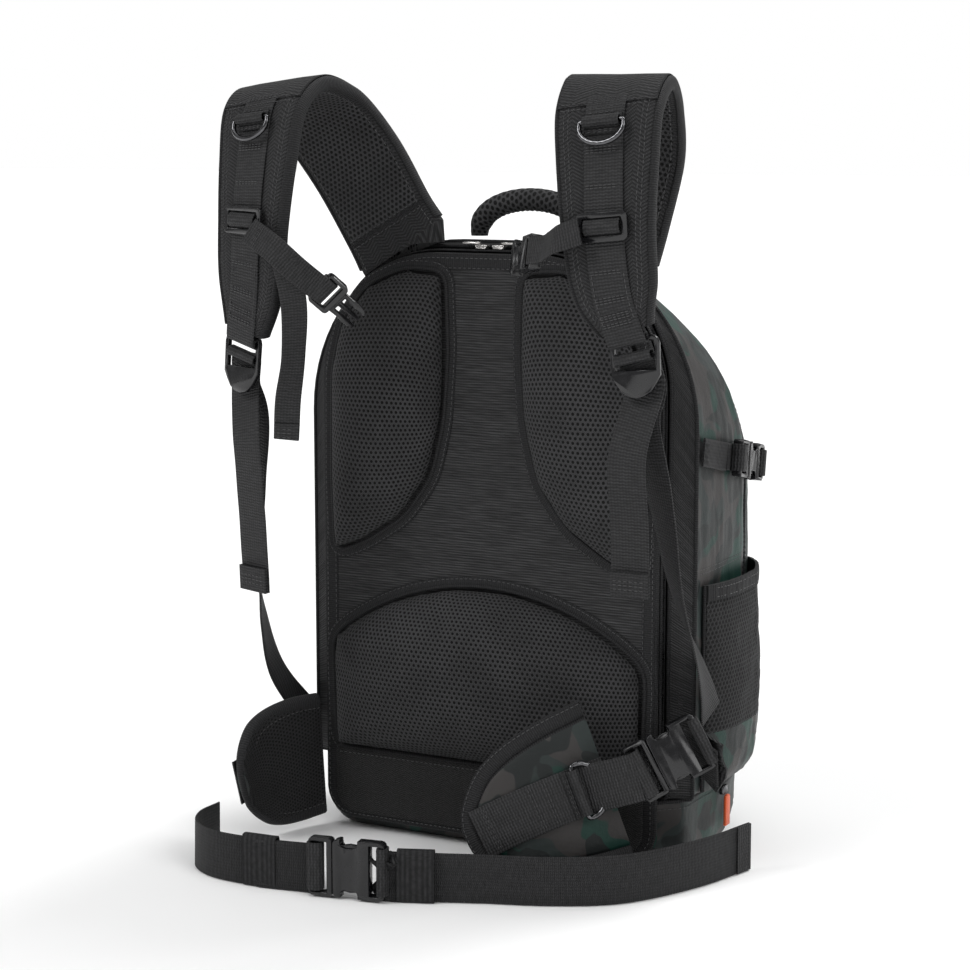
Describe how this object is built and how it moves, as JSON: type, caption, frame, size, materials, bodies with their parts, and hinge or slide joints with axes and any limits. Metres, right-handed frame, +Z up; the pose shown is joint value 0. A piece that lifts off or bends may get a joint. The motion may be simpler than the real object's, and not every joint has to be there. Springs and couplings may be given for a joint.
{
  "type": "tackle backpack",
  "caption": "Backpack with a padded back panel, shoulder straps with a sternum strap, padded hip wings, a buckled waist belt, mesh side pockets and zipped compartments.",
  "frame": {"origin": "middle of the base's flat underside, on the floor", "axes": "+Z up, the wearer's side faces -Y, the front pocket faces +Y, +X is to the right for someone who looks at the wearer's side"},
  "size_m": [0.4002, 0.3977, 0.6115],
  "materials": {
    "camo": "coated polyester, printed camouflage, slight sheen",
    "ribbed": "ribbed nylon",
    "twill": "fine twill nylon",
    "air_mesh": "spacer mesh over foam",
    "webbing": "woven polyester webbing",
    "acetal": "moulded black acetal",
    "black_metal": "gunmetal plated wire",
    "zip_metal": "nickel plated",
    "orange_cord": "orange cord pull"
  },
  "bodies": {
    "pack": {"rear_gusset": "ribbed", "main_shell": "camo", "base_compartment": "camo", "compartment_divider": "air_mesh", "back_panel": "ribbed", "lower_back_panel": "twill", "lumbar_pad": "air_mesh", "back_pad_left": "air_mesh", "back_pad_right": "air_mesh", "rear_zip_tape": "webbing", "front_pocket_wall": "camo", "side_pocket_left": "air_mesh", "side_pocket_right": "air_mesh", "pocket_binding_left": "webbing", "pocket_binding_right": "webbing", "lower_webbing_left": "webbing", "lower_webbing_right": "webbing", "hip_wing_right": "camo", "hip_webbing_right": "webbing", "waist_webbing_right": "webbing", "waist_buckle_female": "acetal", "hip_buckle_female_right": "acetal", "hip_anchor_webbing": "webbing", "side_strap_left": "webbing", "side_strap_right": "webbing", "side_buckle_female_left": "acetal", "side_buckle_female_right": "acetal"},
    "shoulder_left": {"shoulder_pad_left": "twill", "shoulder_webbing_left": "webbing", "webbing_tail_left": "webbing"},
    "shoulder_right": {"shoulder_pad_right": "twill", "shoulder_webbing_right": "webbing", "webbing_tail_right": "webbing"},
    "d_ring_left": {"d_ring_left": "black_metal"},
    "d_ring_right": {"d_ring_right": "black_metal"},
    "hip_d_ring": {"hip_d_ring": "black_metal"},
    "sternum_half_left": {"sternum_slider_left": "acetal", "sternum_webbing_left": "webbing", "sternum_buckle_male": "acetal"},
    "sternum_half_right": {"sternum_slider_right": "acetal", "sternum_webbing_right": "webbing", "sternum_buckle_female": "acetal"},
    "ladder_lock_left": {"ladder_lock_left": "acetal"},
    "ladder_lock_right": {"ladder_lock_right": "acetal"},
    "waist_male": {"waist_buckle_male": "acetal", "waist_webbing_left": "webbing"},
    "hip_male": {"hip_buckle_male_right": "acetal"},
    "side_male_left": {"side_buckle_male_left": "acetal"},
    "side_male_right": {"side_buckle_male_right": "acetal"},
    "rear_slider_left": {"rear_zip_slider_left": "zip_metal"},
    "rear_slider_right": {"rear_zip_slider_right": "zip_metal"},
    "rear_pull_left": {"rear_zip_pull_left": "zip_metal"},
    "rear_pull_right": {"rear_zip_pull_right": "zip_metal"},
    "base_slider": {"base_zip_slider": "black_metal"},
    "base_pull": {"base_zip_pull": "orange_cord"},
    "front_panel": {"front_pocket_panel": "camo"},
    "front_slider": {"front_zip_slider": "orange_cord"},
    "handle": {"grab_handle": "air_mesh"},
    "wing_left": {"hip_wing_left": "air_mesh", "hip_webbing_left": "webbing"}
  },
  "joints": [
    {"name": "shoulder_left_sway", "type": "hinge", "parent": "pack", "child": "shoulder_left", "pos_m": [-0.078, -0.0925, 0.478], "axis": [0.9207, 0, 0.3903], "range_deg": [-6, 2.5]},
    {"name": "shoulder_right_sway", "type": "hinge", "parent": "pack", "child": "shoulder_right", "pos_m": [0.097, -0.0925, 0.478], "axis": [0.9207, 0, -0.3903], "range_deg": [-6, 5]},
    {"name": "d_ring_left_swing", "type": "hinge", "parent": "shoulder_left", "child": "d_ring_left", "pos_m": [-0.14807, -0.20249, 0.57931], "axis": [-0.9811, 0.167, -0.0981], "range_deg": [0, 100]},
    {"name": "d_ring_right_swing", "type": "hinge", "parent": "shoulder_right", "child": "d_ring_right", "pos_m": [0.14241, -0.19813, 0.57666], "axis": [-0.9939, -0.0499, -0.0982], "range_deg": [0, 100]},
    {"name": "hip_d_ring_swing", "type": "hinge", "parent": "pack", "child": "hip_d_ring", "pos_m": [0.11449, -0.16815, 0.07932], "axis": [0.373, 0.0427, -0.9268], "range_deg": [0, 100]},
    {"name": "sternum_left_height", "type": "slide", "parent": "shoulder_left", "child": "sternum_half_left", "axis": [0.0492, 0.0506, 0.9975], "range_m": [-0.02, 0.02]},
    {"name": "sternum_right_height", "type": "slide", "parent": "shoulder_right", "child": "sternum_half_right", "axis": [-0.0966, 0.0633, 0.9933], "range_m": [-0.02, 0.02]},
    {"name": "ladder_lock_left_tilt", "type": "hinge", "parent": "shoulder_left", "child": "ladder_lock_left", "pos_m": [-0.16009, -0.1977, 0.41076], "axis": [-0.9454, 0.2037, 0.2543], "range_deg": [0, 48]},
    {"name": "ladder_lock_right_tilt", "type": "hinge", "parent": "shoulder_right", "child": "ladder_lock_right", "pos_m": [0.16293, -0.19357, 0.4227], "axis": [-0.9664, 0.0192, -0.2564], "range_deg": [0, 48]},
    {"name": "waist_buckle_release", "type": "slide", "parent": "pack", "child": "waist_male", "axis": [-0.9846, -0.1749, 0], "range_m": [0, 0.03]},
    {"name": "hip_buckle_release", "type": "slide", "parent": "pack", "child": "hip_male", "axis": [-0.6612, -0.6211, -0.4208], "range_m": [0, 0.018]},
    {"name": "side_buckle_left_release", "type": "slide", "parent": "pack", "child": "side_male_left", "axis": [-0.0629, -0.9786, 0.1961], "range_m": [0, 0.025]},
    {"name": "side_buckle_right_release", "type": "slide", "parent": "pack", "child": "side_male_right", "axis": [0.0629, -0.9786, 0.1961], "range_m": [0, 0.025]},
    {"name": "rear_slider_left_travel", "type": "slide", "parent": "pack", "child": "rear_slider_left", "axis": [-1, 0, 0], "range_m": [0, 0.014]},
    {"name": "rear_slider_right_travel", "type": "slide", "parent": "pack", "child": "rear_slider_right", "axis": [1, 0, 0], "range_m": [0, 0.014]},
    {"name": "rear_pull_left_flip", "type": "hinge", "parent": "rear_slider_left", "child": "rear_pull_left", "pos_m": [-0.0095, -0.094, 0.484], "axis": [0, 1, 0], "range_deg": [0, 100]},
    {"name": "rear_pull_right_flip", "type": "hinge", "parent": "rear_slider_right", "child": "rear_pull_right", "pos_m": [0.0095, -0.094, 0.484], "axis": [0, -1, 0], "range_deg": [0, 100]},
    {"name": "base_slider_travel", "type": "slide", "parent": "pack", "child": "base_slider", "axis": [-0.0333, 0.9994, 0], "range_m": [-0.02, 0.02]},
    {"name": "base_pull_swing", "type": "hinge", "parent": "base_slider", "child": "base_pull", "pos_m": [0.1669, -0.006, 0.044], "axis": [0, -1, 0], "range_deg": [0, 90]},
    {"name": "front_panel_open", "type": "hinge", "parent": "pack", "child": "front_panel", "pos_m": [0, 0.1203, 0.0655], "axis": [-1, 0, 0], "range_deg": [0, 85]},
    {"name": "front_slider_travel", "type": "slide", "parent": "front_panel", "child": "front_slider", "axis": [1, 0, 0], "range_m": [-0.03, 0.03]},
    {"name": "handle_fold", "type": "hinge", "parent": "pack", "child": "handle", "pos_m": [0.019, -0.062, 0.4885], "axis": [-1, 0, 0], "range_deg": [-15, 75]},
    {"name": "wing_left_swing", "type": "hinge", "parent": "pack", "child": "wing_left", "pos_m": [-0.152, -0.1065, 0.06], "axis": [0, 0, 1], "range_deg": [-10, 45]}
  ]
}
